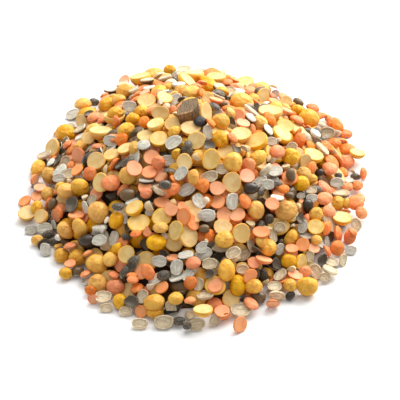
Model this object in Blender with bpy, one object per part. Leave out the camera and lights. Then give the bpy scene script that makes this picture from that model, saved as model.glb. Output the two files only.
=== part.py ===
"""A heap of mixed dry lentils and split pulses, as it lies after being poured out on a flat surface.

The heap is one solid: a rounded cone with a wavy rim, and the grains of its outer layer fused to it,
at true size and with few sides. It stands on z = 0 with the middle of its footprint at the origin,
and the side that is seen in use faces -Y. Everything is in metres.
"""

import math
import random
from typing import NamedTuple

import bmesh
import bpy
from mathutils import Matrix, Vector

MM = 0.001
SEED = 41

# The heap out to its grains: a cone at the slope that dry pulses keep, with a rounded top.
HEAP_RADIUS = 48.6 * MM
HEAP_HEIGHT = 25.0 * MM
TOP_ROUNDING = 0.30  # of the radius
# Each wave of the rim: how many lobes go round, its depth as a share of the radius, and its turn in degrees.
RIM_WAVES = ((2, 0.027, 84), (3, 0.014, 2), (4, 0.012, 9), (5, 0.015, -34), (6, 0.014, 22))

# The core under the grains.
CORE_DEPTH = 1.7 * MM  # below the outer surface
CORE_INSET = 3.2 * MM  # inside the rim, so that the row of grains on its edge reaches the rim
CORE_EDGE = 2.0 * MM  # height of its steep edge on the floor
CORE_SIDES = 40
CORE_RINGS = 8
BUMP_HEIGHT = 0.45 * MM
BUMP_SPACING = 6.5 * MM

# How the grains lie.
RIM_GRAINS = 46  # in the row that lies on the floor round the heap
SLOPE_GRAINS = 190  # on the core, from that row to the top
GOLDEN_ANGLE = math.radians(137.508)  # successive places turned by this are spread evenly
STRAY = 0.8 * MM  # how far a grain lies from its even place
RIM_ROW_WIDTH = 4.6 * MM
SUNK = 0.34  # share of a grain's thickness that is below the core's surface
FLOOR_GAP = 0.15 * MM  # grains at the rim end this far above the floor
TIP = math.radians(12)  # how far grains tip from the slope, as a standard deviation
FACE_UP_SHARE = 0.5  # of the split grains, those that show their cut face
SIZE_SPREAD = 0.10  # how far one grain's size strays from its kind's
OUTLINE_SPREAD = 0.06  # how far one corner of a grain strays from its outline
CHIP_PLACE = (-1.6 * MM, 7.3 * MM)  # the bark chip lies just behind the top


class Form(NamedTuple):
    """Rings from below to above as (share of half width, share of thickness), and the heights of the two poles."""

    sides: int
    rings: tuple
    poles: tuple


LARGE_HALF = Form(7, ((1.0, 0.0), (0.88, 0.58)), (0.0, 1.0))
SMALL_HALF = Form(6, ((1.0, 0.0), (0.86, 0.6)), (0.0, 1.0))
LENS = Form(6, ((0.93, -0.22), (0.93, 0.22)), (-0.5, 0.5))
BEAN = Form(6, ((0.72, -0.35), (1.0, 0.0), (0.72, 0.35)), (-0.5, 0.5))
CHIP = Form(5, ((1.0, 0.0), (0.8, 0.9)), (0.0, 1.0))


class Kind(NamedTuple):
    """One kind of grain: its mean size, its form and its share of the grains that show."""

    name: str
    length: float
    width: float
    thickness: float
    form: Form
    share: float


BARK_CHIP = Kind("bark_chip", 5.6 * MM, 4.8 * MM, 4.4 * MM, CHIP, 0.0)
KINDS = (
    Kind("split_chickpea", 6.6 * MM, 5.8 * MM, 2.9 * MM, LARGE_HALF, 0.42),
    Kind("split_pigeon_pea", 5.4 * MM, 4.9 * MM, 2.4 * MM, SMALL_HALF, 0.14),
    Kind("red_lentil", 4.7 * MM, 4.5 * MM, 2.2 * MM, LENS, 0.22),
    Kind("split_mung", 5.3 * MM, 4.1 * MM, 1.8 * MM, SMALL_HALF, 0.16),
    Kind("brown_bean", 4.8 * MM, 3.7 * MM, 3.3 * MM, BEAN, 0.06),
)

HEAP_COLOUR = (0.53, 0.31, 0.13, 1.0)
HEAP_ROUGHNESS = 0.6

FLAT_ENOUGH = math.radians(1.0)  # faces that meet at less than this become one


def clear_scene():
    for obj in list(bpy.data.objects):
        bpy.data.objects.remove(obj, do_unlink=True)


def rim_radius(angle):
    """Distance from the middle to the heap's rim in this direction."""
    waves = sum(depth * math.cos(lobes * angle - lobes * math.radians(turn)) for lobes, depth, turn in RIM_WAVES)
    return HEAP_RADIUS * (1 + waves)


def slope_profile(share):
    """Height of the heap, as a share of its full height, at this share of the way from middle to rim."""
    foot = math.hypot(1, TOP_ROUNDING)
    return (foot - math.hypot(share, TOP_ROUNDING)) / (foot - TOP_ROUNDING)


def bump(x, y):
    """Low relief of the core, about one grain across."""
    turn = 2 * math.pi / BUMP_SPACING
    waves = math.sin(turn * x + 1.3 * math.sin(0.6 * turn * y)) * math.cos(turn * y + 0.9 * math.sin(0.5 * turn * x))
    return BUMP_HEIGHT * waves


def core_radius(angle):
    return rim_radius(angle) - CORE_INSET


def core_height(x, y):
    """Height of the core's surface over a place inside its rim."""
    share = math.hypot(x, y) / core_radius(math.atan2(y, x))
    return CORE_EDGE + (HEAP_HEIGHT - CORE_DEPTH - CORE_EDGE) * slope_profile(min(share, 1.0)) + bump(x, y)


def core_normal(x, y):
    """The direction straight out of the core's surface, leaving its bumps out."""
    step = MM
    dx = (core_height(x + step, y) - bump(x + step, y)) - (core_height(x - step, y) - bump(x - step, y))
    dy = (core_height(x, y + step) - bump(x, y + step)) - (core_height(x, y - step) - bump(x, y - step))
    return Vector((-dx, -dy, 2 * step)).normalized()


def ring_at(bm, share):
    """A ring of the core's points, at this share of the way from middle to rim."""
    points = []
    for i in range(CORE_SIDES):
        angle = 2 * math.pi * i / CORE_SIDES
        x = share * core_radius(angle) * math.cos(angle)
        y = share * core_radius(angle) * math.sin(angle)
        points.append(bm.verts.new((x, y, core_height(x, y))))
    return points


def bridge(bm, outer, inner):
    """A band of faces between two rings of equally many points, facing away from their axis."""
    count = len(outer)
    for i in range(count):
        after = (i + 1) % count
        bm.faces.new((outer[i], outer[after], inner[after], inner[i]))


def cap(bm, ring, pole, facing_up):
    """A fan of triangles that closes a ring at a pole."""
    count = len(ring)
    for i in range(count):
        after = (i + 1) % count
        corners = (ring[i], ring[after], pole) if facing_up else (ring[after], ring[i], pole)
        bm.faces.new(corners)


def mesh_from(bm, name):
    mesh = bpy.data.meshes.new(name)
    bm.to_mesh(mesh)
    bm.free()
    return mesh


def core_mesh():
    """The closed body under the grains: a flat base, a steep edge and a bumpy rounded cone."""
    bm = bmesh.new()
    rings = [ring_at(bm, 1 - i / CORE_RINGS) for i in range(CORE_RINGS)]
    base = [bm.verts.new((v.co.x, v.co.y, 0.0)) for v in rings[0]]
    bridge(bm, base, rings[0])
    for outer, inner in zip(rings, rings[1:]):
        bridge(bm, outer, inner)
    cap(bm, rings[-1], bm.verts.new((0, 0, core_height(0, 0))), facing_up=True)
    bm.faces.new(list(reversed(base)))
    bmesh.ops.triangulate(bm, faces=bm.faces[:])
    return mesh_from(bm, "lentil_heap")


def grain_mesh(kind, rng):
    """One grain at its own size, resting on z = 0, with its outline a little uneven."""
    form = kind.form
    size = 1 + rng.uniform(-SIZE_SPREAD, SIZE_SPREAD)
    half_length, half_width = size * kind.length / 2, size * kind.width / 2
    thickness = size * kind.thickness
    low_pole, high_pole = (share * thickness for share in form.poles)
    outline = [1 + rng.uniform(-OUTLINE_SPREAD, OUTLINE_SPREAD) for _ in range(form.sides)]
    bm = bmesh.new()
    rings = []
    for width_share, height_share in form.rings:
        ring = []
        for i, corner in enumerate(outline):
            angle = 2 * math.pi * i / form.sides
            x = half_length * width_share * corner * math.cos(angle)
            y = half_width * width_share * corner * math.sin(angle)
            ring.append(bm.verts.new((x, y, height_share * thickness - low_pole)))
        rings.append(ring)
    for lower, upper in zip(rings, rings[1:]):
        bridge(bm, lower, upper)
    cap(bm, rings[-1], bm.verts.new((0, 0, high_pole - low_pole)), facing_up=True)
    if low_pole:
        cap(bm, rings[0], bm.verts.new((0, 0, 0)), facing_up=False)
    else:
        bm.faces.new(list(reversed(rings[0])))
    return mesh_from(bm, kind.name)


def strayed(spot, rng):
    return spot[0] + rng.uniform(-STRAY, STRAY), spot[1] + rng.uniform(-STRAY, STRAY)


def rim_spots(rng):
    """Places round the core's edge, where grains lie on the floor."""
    for i in range(RIM_GRAINS):
        angle = 2 * math.pi * i / RIM_GRAINS
        reach = core_radius(angle)
        yield strayed((reach * math.cos(angle), reach * math.sin(angle)), rng)


def slope_spots(rng):
    """Places spread evenly over the slope inside the rim's row, on a spiral of golden turns."""
    for i in range(SLOPE_GRAINS):
        angle = (i * GOLDEN_ANGLE) % (2 * math.pi)
        reach = (core_radius(angle) - RIM_ROW_WIDTH) * math.sqrt((i + 0.5) / SLOPE_GRAINS)
        yield strayed((reach * math.cos(angle), reach * math.sin(angle)), rng)


def shared_out(count, rng):
    """That many grains' kinds, by the kinds' shares, in a mixed order."""
    kinds = [kind for kind in KINDS for _ in range(round(kind.share * count))]
    kinds = (kinds + [KINDS[0]] * count)[:count]
    rng.shuffle(kinds)
    return kinds


def seat(mesh, kind, x, y, normal, height, rng):
    """Turns a grain to the surface under it and moves it there; a split grain may lie on its round side."""
    if kind.form in (LARGE_HALF, SMALL_HALF) and rng.random() < FACE_UP_SHARE:
        top = max(v.co.z for v in mesh.vertices)
        mesh.transform(Matrix.Translation((0, 0, top)) @ Matrix.Rotation(math.pi, 4, "X"))
    spin = Matrix.Rotation(rng.uniform(0, 2 * math.pi), 4, "Z")
    tip = Matrix.Rotation(rng.gauss(0, TIP), 4, "X")
    to_surface = Vector((0, 0, 1)).rotation_difference(normal).to_matrix().to_4x4()
    mesh.transform(Matrix.Translation((x, y, height)) @ to_surface @ tip @ spin)


def lift_to(mesh, height):
    """Raises a grain until nothing of it is below this height."""
    lowest = min(v.co.z for v in mesh.vertices)
    mesh.transform(Matrix.Translation((0, 0, max(0.0, height - lowest))))


def lay_on_floor(kind, x, y, rng):
    mesh = grain_mesh(kind, rng)
    seat(mesh, kind, x, y, Vector((0, 0, 1)), 0.0, rng)
    lift_to(mesh, FLOOR_GAP)
    return mesh


def lay_on_slope(kind, x, y, rng):
    mesh = grain_mesh(kind, rng)
    normal = core_normal(x, y)
    seat(mesh, kind, x, y, normal, core_height(x, y), rng)
    mesh.transform(Matrix.Translation(-SUNK * kind.thickness * normal))
    lift_to(mesh, FLOOR_GAP)
    return mesh


def lay_grains(collection, rng):
    """Puts the heap's outer grains in the collection, each as an object of its own."""
    meshes = [lay_on_slope(BARK_CHIP, *CHIP_PLACE, rng)]
    for kind, spot in zip(shared_out(RIM_GRAINS, rng), rim_spots(rng)):
        meshes.append(lay_on_floor(kind, *spot, rng))
    for kind, spot in zip(shared_out(SLOPE_GRAINS, rng), slope_spots(rng)):
        meshes.append(lay_on_slope(kind, *spot, rng))
    for mesh in meshes:
        collection.objects.link(bpy.data.objects.new(mesh.name, mesh))


def fuse(obj, collection):
    """Joins the collection's objects to the object as one solid, and removes them."""
    modifier = obj.modifiers.new("fused_grains", "BOOLEAN")
    modifier.operation = "UNION"
    modifier.solver = "EXACT"
    modifier.operand_type = "COLLECTION"
    modifier.collection = collection
    bpy.context.view_layer.objects.active = obj
    bpy.ops.object.modifier_apply(modifier=modifier.name)
    for grain in list(collection.objects):
        bpy.data.objects.remove(grain, do_unlink=True)
    bpy.data.collections.remove(collection)


def keep_outer_shell(mesh):
    """Drops loose scraps, and the walls of hollows that the joined grains sealed, which fills them."""
    bm = bmesh.new()
    bm.from_mesh(mesh)
    left = set(bm.verts)
    shells = []
    while left:
        shell, front = set(), [left.pop()]
        while front:
            vert = front.pop()
            shell.add(vert)
            near = {edge.other_vert(vert) for edge in vert.link_edges} & left
            left -= near
            front.extend(near)
        shells.append(shell)
    outer = max(shells, key=len)
    bmesh.ops.delete(bm, geom=[v for v in bm.verts if v not in outer], context="VERTS")
    bmesh.ops.dissolve_limit(bm, angle_limit=FLAT_ENOUGH, verts=bm.verts[:], edges=bm.edges[:])
    bmesh.ops.triangulate(bm, faces=bm.faces[:])
    bm.to_mesh(mesh)
    bm.free()


def centre_on_origin(mesh):
    """Brings the middle of the footprint to the origin; the flat base stays on z = 0."""
    xs = [v.co.x for v in mesh.vertices]
    ys = [v.co.y for v in mesh.vertices]
    mesh.transform(Matrix.Translation((-(min(xs) + max(xs)) / 2, -(min(ys) + max(ys)) / 2, 0)))


def pulse_material():
    material = bpy.data.materials.new("mixed_pulses")
    material.use_nodes = True
    shader = material.node_tree.nodes["Principled BSDF"]
    shader.inputs["Base Color"].default_value = HEAP_COLOUR
    shader.inputs["Roughness"].default_value = HEAP_ROUGHNESS
    shader.inputs["Metallic"].default_value = 0.0
    return material


def build_heap():
    rng = random.Random(SEED)
    heap = bpy.data.objects.new("lentil_heap", core_mesh())
    bpy.context.scene.collection.objects.link(heap)
    grains = bpy.data.collections.new("grains")
    bpy.context.scene.collection.children.link(grains)
    lay_grains(grains, rng)
    fuse(heap, grains)
    keep_outer_shell(heap.data)
    centre_on_origin(heap.data)
    heap.data.materials.clear()
    heap.data.materials.append(pulse_material())
    return heap


clear_scene()
build_heap()
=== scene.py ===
"""The looks of a heap of mixed dry lentils and split pulses, as it lies after being poured out.

Every kind of grain is modelled a few times, in millimetres. Its copies are then laid one by one
on a map of heights, from the core outwards. Those that the photograph shows well come to rest under their
own pixels. The others are tried at many turns, and stay at the one in which they settle best. Each kind
is one piece, and its material reads the attributes that every grain carries: its own coordinates from
-1 to 1, and three numbers drawn for the grain.
"""

import math
from typing import NamedTuple

import bmesh
import bpy
import numpy as np
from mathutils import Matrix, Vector, noise


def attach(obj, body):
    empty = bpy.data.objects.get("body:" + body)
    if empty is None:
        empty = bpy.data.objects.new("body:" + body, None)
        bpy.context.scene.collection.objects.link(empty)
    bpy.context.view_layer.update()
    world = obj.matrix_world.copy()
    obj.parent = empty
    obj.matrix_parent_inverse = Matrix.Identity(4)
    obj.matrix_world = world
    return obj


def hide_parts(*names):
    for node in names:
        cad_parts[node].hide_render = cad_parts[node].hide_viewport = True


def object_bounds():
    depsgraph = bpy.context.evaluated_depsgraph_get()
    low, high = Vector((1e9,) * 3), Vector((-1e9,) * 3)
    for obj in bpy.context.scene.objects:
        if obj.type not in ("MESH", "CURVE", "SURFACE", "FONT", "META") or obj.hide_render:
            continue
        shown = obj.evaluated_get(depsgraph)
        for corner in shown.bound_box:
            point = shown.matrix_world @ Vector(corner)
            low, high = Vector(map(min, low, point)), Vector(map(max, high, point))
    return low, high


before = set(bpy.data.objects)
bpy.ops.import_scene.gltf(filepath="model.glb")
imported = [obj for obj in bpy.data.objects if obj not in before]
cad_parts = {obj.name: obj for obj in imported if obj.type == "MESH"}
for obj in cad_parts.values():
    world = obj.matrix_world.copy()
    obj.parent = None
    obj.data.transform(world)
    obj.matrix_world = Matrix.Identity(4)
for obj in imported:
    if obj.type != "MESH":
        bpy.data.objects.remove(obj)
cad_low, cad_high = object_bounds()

MM = 0.001
SEED = 7

# The heap's form, as its solid has it: a cone with a rounded top and a wavy rim. Lengths are millimetres.
HEAP_RADIUS = 48.6
HEAP_HEIGHT = 25.0
TOP_ROUNDING = 0.30  # of the radius
# Each wave of the rim: how many lobes go round, its depth as a share of the radius, and its turn in degrees.
RIM_WAVES = ((2, 0.027, 84), (3, 0.014, 2), (4, 0.012, 9), (5, 0.015, -34), (6, 0.014, 22))
RIM_LAYER = 2.2  # height of the heap at its very rim, which is one grain thick
LUMP_HEIGHT = 0.7
LUMP_REPEAT = (0.31, 0.27)  # radians for each millimetre along x and along y
LUMP_SWAY = (1.7, 1.1)  # radians
LUMP_SWAY_REPEAT = (0.13, 0.17)  # radians for each millimetre along y and along x
OUTSIDE = -1.0  # what stands for the height outside the rim

# The photograph's camera. It looks along +Y, down at the heap.
PHOTO_SIDE = 400  # pixels
CAMERA_ELEVATION = math.radians(46)
CAMERA_DISTANCE = 450.0
FOCAL_PIXELS = 1610.0
BASE_PIXEL = (195.8, 189.8)  # where the middle of the heap's base shows
SENSOR = 36.0  # millimetres
RIGHT = np.array((1.0, 0.0, 0.0))
UP = np.array((0.0, math.sin(CAMERA_ELEVATION), math.cos(CAMERA_ELEVATION)))
BACK = np.array((0.0, -math.cos(CAMERA_ELEVATION), math.sin(CAMERA_ELEVATION)))

# The core under the grains.
CORE_DEPTH = 6.2  # under the heap's top
CORE_INSET = 8.0  # from the rim
CORE_RELIEF = 0.8
CORE_LUMP = 5.0
CORE_EDGE = 0.125  # share of the core's reach over which its lumps fade out

# The map of heights on which the grains are laid.
CELL = 0.35
MAP_HALF = 60.0
FAR = 1e3
LEAST_RISE = 1e-3  # of a cut face that stands on edge
OVERLAP = 0.14  # how far a grain sinks into what it touches
CLOSE_GAP = 0.9  # mean gap under a grain that lies well
MOST_SUNK = 1.0
MOST_OUTSIDE = 0.10  # share of a grain that may lie outside the rim
SLOPE_STEP = 1.5  # on both sides of a spot, for the slope there
STEEPEST = 1.2  # slope along x or y
MOST_STRAY = 1.4  # radians, of a grain's axis from the slope's normal

# How spots for the grains are tried.
DEEPEST_OF = 6
SPOTS_EACH = 10
CLEAR_OF = 0.55  # share of two grains' radii that stays between the middles of one and of a seen one
BEFORE_BY = 1.0  # how far behind a seen grain's middle a grain still counts as before it

# How the grains that the photograph shows are laid.
RAY_SPAN = (0.85, 1.15)  # part of a pixel's ray that is searched, 1 at the heap's middle
RAY_STEPS = 3000
SETTLING = 4  # drops, each under the pixel at the height of the last
SEEN_MOST_OVER = 3.7  # how far they may stand out of the heap's form


class Kind(NamedTuple):
    """A kind of grain: its mean size, whether it is a half with a cut face, and how it lies."""

    name: str
    size: tuple  # length, width and thickness
    spread: float  # of the size from grain to grain
    half: bool
    face_up: float  # share of the grains that lie with the cut face up
    share: float  # of all grains


CHICKPEA = Kind("split_chickpeas", (6.3, 5.6, 3.0), 0.09, True, 0.37, 0.34)
PIGEON_PEA = Kind("split_pigeon_peas", (5.4, 4.8, 2.5), 0.09, True, 0.35, 0.20)
RED_LENTIL = Kind("red_lentils", (4.8, 4.6, 1.5), 0.07, True, 0.35, 0.16)
BLACK_GRAM = Kind("split_black_gram", (5.2, 3.9, 1.9), 0.08, True, 0.68, 0.07)
MUNG = Kind("split_mung_beans", (5.2, 3.9, 1.9), 0.08, True, 0.65, 0.07)
WHOLE_BEAN = Kind("whole_beans", (4.9, 3.8, 3.4), 0.08, False, 0.0, 0.04)
SKIN = Kind("bean_skins", (4.6, 3.3, 1.2), 0.12, True, 0.5, 0.035)
CRUMB = Kind("broken_bits", (3.2, 2.5, 2.0), 0.18, False, 0.0, 0.02)
CHIP = Kind("bark_chip", (6.0, 5.4, 3.8), 0.0, False, 0.0, 0.0)
KINDS = (CHICKPEA, PIGEON_PEA, RED_LENTIL, BLACK_GRAM, MUNG, WHOLE_BEAN, SKIN, CRUMB, CHIP)


class Patch(NamedTuple):
    """A part of the photograph in which one kind shows more or less often."""

    kind: Kind
    pixel: tuple
    reach: float  # pixels
    factor: float


PATCHES = (
    Patch(RED_LENTIL, (355, 205), 42, 2.8),
    Patch(RED_LENTIL, (300, 240), 30, 1.5),
    Patch(RED_LENTIL, (110, 240), 40, 0.6),
    Patch(CHICKPEA, (220, 90), 60, 1.7),
    Patch(CHICKPEA, (95, 220), 45, 1.5),
    Patch(PIGEON_PEA, (150, 110), 55, 1.5),
    Patch(BLACK_GRAM, (195, 235), 40, 1.9),
    Patch(BLACK_GRAM, (75, 235), 35, 1.8),
    Patch(BLACK_GRAM, (220, 90), 60, 0.4),
    Patch(MUNG, (190, 305), 60, 1.9),
    Patch(MUNG, (330, 260), 35, 1.6),
    Patch(MUNG, (220, 90), 60, 0.5),
    Patch(WHOLE_BEAN, (270, 190), 35, 2.2),
    Patch(WHOLE_BEAN, (200, 80), 75, 0.1),
    Patch(WHOLE_BEAN, (330, 120), 60, 0.4),
    Patch(SKIN, (200, 80), 75, 0.1),
    Patch(SKIN, (120, 240), 60, 3.2),
    Patch(SKIN, (190, 300), 60, 2.6),
    Patch(CRUMB, (200, 80), 75, 0.3),
)


def rim_radius(angle):
    """Distance from the middle to the heap's rim in this direction."""
    waves = sum(
        depth * np.cos(lobes * angle - lobes * math.radians(turn))
        for lobes, depth, turn in RIM_WAVES
    )
    return HEAP_RADIUS * (1 + waves)


def slope_profile(share):
    """Height of the heap, as a share of its full height, at this share of the way from middle to rim."""
    foot = math.hypot(1, TOP_ROUNDING)
    return (foot - np.hypot(share, TOP_ROUNDING)) / (foot - TOP_ROUNDING)


def heap_surface(x, y):
    """Height of the heap out to its grains, and a negative height outside its rim."""
    share = np.hypot(x, y) / rim_radius(np.arctan2(y, x))
    lumps_x = np.sin(LUMP_REPEAT[0] * x + LUMP_SWAY[0] * np.sin(LUMP_SWAY_REPEAT[0] * y))
    lumps_y = np.cos(LUMP_REPEAT[1] * y + LUMP_SWAY[1] * np.sin(LUMP_SWAY_REPEAT[1] * x))
    lumps = LUMP_HEIGHT * lumps_x * lumps_y
    inside = np.maximum(HEAP_HEIGHT * slope_profile(share) + lumps * (1 - share), RIM_LAYER)
    return np.where(share <= 1, inside, OUTSIDE)


def core_surface(x, y):
    """Height of the core under the grains, and 0 outside it."""
    share = np.hypot(x, y) / (rim_radius(np.arctan2(y, x)) - CORE_INSET)
    height = (HEAP_HEIGHT - CORE_DEPTH) * slope_profile(share)
    return np.where(share < 1, height, 0.0)


def pixel_of(place):
    """Where a place in the heap shows in the photograph."""
    place = np.asarray(place, float)
    depth = CAMERA_DISTANCE - place @ BACK
    x = BASE_PIXEL[0] + FOCAL_PIXELS * (place @ RIGHT) / depth
    y = BASE_PIXEL[1] - FOCAL_PIXELS * (place @ UP) / depth
    return x, y


class HeightMap:
    """What lies on the floor so far, as the heights of square cells."""

    def __init__(self):
        self.middle = int(MAP_HALF / CELL)
        self.at = np.arange(-self.middle, self.middle + 1) * CELL
        x, y = np.meshgrid(self.at, self.at, indexing="ij")
        self.limit = heap_surface(x, y)
        self.ground = core_surface(x, y)
        self.kept = np.zeros(x.shape, bool)

    def drop(self, spot, halves, is_half, turns):
        """Drops a grain at each of these turns, straight down, and returns how it comes to lie."""
        reach = int(max(halves) / CELL) + 2
        i, j = (int(round(c / CELL)) + self.middle for c in spot)
        window = (slice(i - reach, i + reach + 1), slice(j - reach, j + reach + 1))
        dx = (self.at[window[0]] - spot[0])[None, :, None]
        dy = (self.at[window[1]] - spot[1])[None, None, :]
        form = np.einsum("tij,j,tkj->tik", turns, 1 / np.square(halves), turns)[:, None, None]
        a = form[..., 2, 2]
        b = form[..., 0, 2] * dx + form[..., 1, 2] * dy
        c = form[..., 0, 0] * dx**2 + 2 * form[..., 0, 1] * dx * dy + form[..., 1, 1] * dy**2 - 1
        root = b**2 - a * c
        inside = root > 0
        root = np.sqrt(np.maximum(root, 0))
        low, high = (-b - root) / a, (-b + root) / a
        if is_half:
            axis = turns[:, None, None, :, 2]
            rise = np.where(np.abs(axis[..., 2]) < LEAST_RISE, LEAST_RISE, axis[..., 2])
            cut = -(axis[..., 0] * dx + axis[..., 1] * dy) / rise
            low = np.where(rise > 0, np.maximum(low, cut), low)
            high = np.where(rise < 0, np.minimum(high, cut), high)
            inside &= high > low
        ground = self.ground[window][None]
        rest = np.where(inside, ground - low, -FAR).max(axis=(1, 2)) - OVERLAP
        rest = np.maximum(rest, np.where(inside, -low, -FAR).max(axis=(1, 2)))
        return Landing(window, inside, low + rest[:, None, None], high + rest[:, None, None], rest)

    def gap_under(self, landing):
        """The mean gap under the grain at each turn."""
        gaps = landing.inside * (landing.low - self.ground[landing.window])
        return gaps.sum(axis=(1, 2)) / landing.inside.sum(axis=(1, 2))

    def nestle(self, landing):
        """Lets a grain that stands high on what it touches sink a little way in between."""
        sunk = np.clip(self.gap_under(landing) - CLOSE_GAP, 0, MOST_SUNK)
        sunk = np.minimum(sunk, np.where(landing.inside, landing.low, FAR).min(axis=(1, 2)))
        low, high = landing.low - sunk[:, None, None], landing.high - sunk[:, None, None]
        return Landing(landing.window, landing.inside, low, high, landing.rest - sunk)

    def over(self, landing):
        """How far the grain stands out of the heap's form at each turn."""
        limit = self.limit[landing.window][None]
        return np.where(landing.inside & (limit >= 0), landing.high - limit, -FAR).max(axis=(1, 2))

    def judge(self, landing, most_over, most_covered):
        """A score for each turn: the mean gap under the grain, and infinite where it can't lie."""
        inside, window = landing.inside, landing.window
        cells = inside.sum(axis=(1, 2))
        outside = (inside & (self.limit[window] < 0)).sum(axis=(1, 2)) / cells
        covers = (inside & self.kept[window]).sum(axis=(1, 2)) / cells
        refused = (self.over(landing) > most_over) | (outside > MOST_OUTSIDE) | (covers > most_covered)
        return np.where(refused, np.inf, self.gap_under(landing))

    def add(self, landing, turn, keep=False):
        """Leaves the grain lying there. One that is kept isn't covered by later grains."""
        inside, high = landing.inside[turn], landing.high[turn]
        ground = self.ground[landing.window]
        np.maximum(ground, np.where(inside, high, 0), out=ground)
        if keep:
            self.kept[landing.window] |= inside


class Landing(NamedTuple):
    """How a grain comes to lie at each of several turns."""

    window: tuple
    inside: np.ndarray  # the cells it covers
    low: np.ndarray
    high: np.ndarray
    rest: np.ndarray  # height of its middle


class Laid(NamedTuple):
    """A grain in its place."""

    kind: Kind
    place: np.ndarray
    turn: np.ndarray  # columns are the grain's own axes
    halves: np.ndarray  # half length, half width, and thickness (of a half) or half thickness
    shape: int  # which of its kind's modelled grains it is, or -1 for any


def slope_normal(x, y):
    """The unit vector that stands on the heap's slope here."""
    dx = heap_surface(x + SLOPE_STEP, y) - heap_surface(x - SLOPE_STEP, y)
    dy = heap_surface(x, y + SLOPE_STEP) - heap_surface(x, y - SLOPE_STEP)
    most = STEEPEST * 2 * SLOPE_STEP
    normal = np.array((-np.clip(dx, -most, most), -np.clip(dy, -most, most), 2 * SLOPE_STEP))
    return normal / np.linalg.norm(normal)


def unit(vectors):
    """The vectors at length 1."""
    return vectors / np.linalg.norm(vectors, axis=-1, keepdims=True)


def side_ways(normal, count, rng):
    """Unit vectors across the normal, in any direction."""
    return unit(np.cross(normal, rng.normal(0, 1, (count, 3))))


def turns_about(normal, count, tilt, face_up, rng):
    """Turns whose z axis strays from the normal, or from its opposite where the cut face is up."""
    stray = np.minimum(np.abs(rng.normal(0, tilt, (count, 1))), MOST_STRAY)
    strayed = unit(normal + np.tan(stray) * side_ways(normal, count, rng))
    z = -strayed if face_up else strayed
    x = side_ways(z, count, rng)
    return np.stack((x, np.cross(z, x), z), axis=-1)


def halves_of(kind):
    """Half length, half width, and the thickness of a half or half the thickness of a whole grain."""
    length, width, thickness = kind.size
    return np.array((length / 2, width / 2, thickness if kind.half else thickness / 2))


def grain_size(kind, size, rng):
    """The halves of one grain, which strays from its kind's by at most twice the spread."""
    most = 2 * kind.spread
    return halves_of(kind) * (size * rng.normal(1, kind.spread, 3).clip(1 - most, 1 + most))


def kind_for(spot, thickest, rng):
    """A kind drawn by the shares and the patches of the photograph, and none that is over the thickest."""
    px, py = pixel_of((*spot, float(heap_surface(*spot))))
    weights = np.array([kind.share if kind.size[2] <= thickest else 0.0 for kind in KINDS])
    for patch in PATCHES:
        near = math.exp(-((px - patch.pixel[0]) ** 2 + (py - patch.pixel[1]) ** 2) / (2 * patch.reach**2))
        weights[KINDS.index(patch.kind)] *= 1 + (patch.factor - 1) * near
    return KINDS[rng.choice(len(KINDS), p=weights / weights.sum())]


def deep_spot(heights, room, rng):
    """A spot with much room over it: the deepest of a few of the cells with room."""
    some = room[rng.integers(len(room), size=DEEPEST_OF)]
    depth = (heights.limit - heights.ground)[some[:, 0], some[:, 1]]
    return heights.at[some[np.argmax(depth)]] + rng.uniform(-CELL / 2, CELL / 2, 2)


def hides(seen, place, halves):
    """Whether a grain here would stand before one that the photograph shows."""
    if not len(seen):
        return False
    px, py = pixel_of(place)
    radius = halves[:2].mean() * FOCAL_PIXELS / CAMERA_DISTANCE
    before = place @ BACK > seen[:, 3] - BEFORE_BY
    near = np.hypot(seen[:, 0] - px, seen[:, 1] - py) < CLEAR_OF * (seen[:, 2] + radius)
    return bool((before & near).any())


def fill(heights, laid, layer, seen, rng):
    """Lays grains wherever the heap is still lower than its form, until they find no more room."""
    misses = 0
    while misses < layer.most_misses:
        room = np.argwhere((heights.limit - heights.ground > layer.room_left) & ~heights.kept)
        if not len(room):
            break
        spot = deep_spot(heights, room, rng)
        kind = kind_for(spot, layer.thickest, rng)
        halves = grain_size(kind, layer.size, rng)
        misses += 1
        most_over = layer.most_over + layer.more_over * kind.size[2]
        for _ in range(SPOTS_EACH):
            face_up = rng.random() < kind.face_up
            turns = turns_about(slope_normal(*spot), layer.tries, layer.tilt, face_up, rng)
            landing = heights.drop(spot, halves, kind.half, turns)
            scores = heights.judge(landing, most_over, layer.most_covered)
            best = int(np.argmin(scores))
            place = np.array((*spot, landing.rest[best]))
            if np.isfinite(scores[best]) and not hides(seen, place, halves):
                heights.add(landing, best)
                laid.append(Laid(kind, place, turns[best], halves, -1))
                misses = 0
                break
            spot = deep_spot(heights, room, rng)


class Layer(NamedTuple):
    """How grains are laid on what lies there."""

    room_left: float  # they go where the heap is lower than its form by more than this
    most_over: float  # how far they may stand out of the form
    more_over: float  # and how much further for each millimetre of the kind's thickness
    most_covered: float  # share of a grain that may lie over kept ones
    thickest: float
    size: float  # of the grains, against their kind's
    tilt: float
    tries: int
    most_misses: int


UNDER = Layer(
    room_left=2.3, most_over=-1.5, more_over=0.25, most_covered=0.0, thickest=4.0,
    size=1.0, tilt=math.radians(28), tries=8, most_misses=50,
)
TOP = Layer(
    room_left=0.9, most_over=0.4, more_over=0.55, most_covered=0.1, thickest=4.0,
    size=1.0, tilt=math.radians(36), tries=12, most_misses=90,
)
CHINKS = Layer(
    room_left=1.3, most_over=0.9, more_over=0.35, most_covered=0.45, thickest=3.2,
    size=0.84, tilt=math.radians(50), tries=12, most_misses=80,
)
SMALL_CHINKS = Layer(
    room_left=1.5, most_over=0.8, more_over=0.35, most_covered=0.5, thickest=3.2,
    size=0.68, tilt=math.radians(50), tries=12, most_misses=30,
)


class Seen(NamedTuple):
    """A grain that the photograph shows: the pixel of its middle, and its length and width in pixels."""

    x: float
    y: float
    along: float
    across: float
    turn: float = 0.0  # degrees, from the right towards the top
    shape: int = 0  # which of its kind's modelled grains it is


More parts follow.
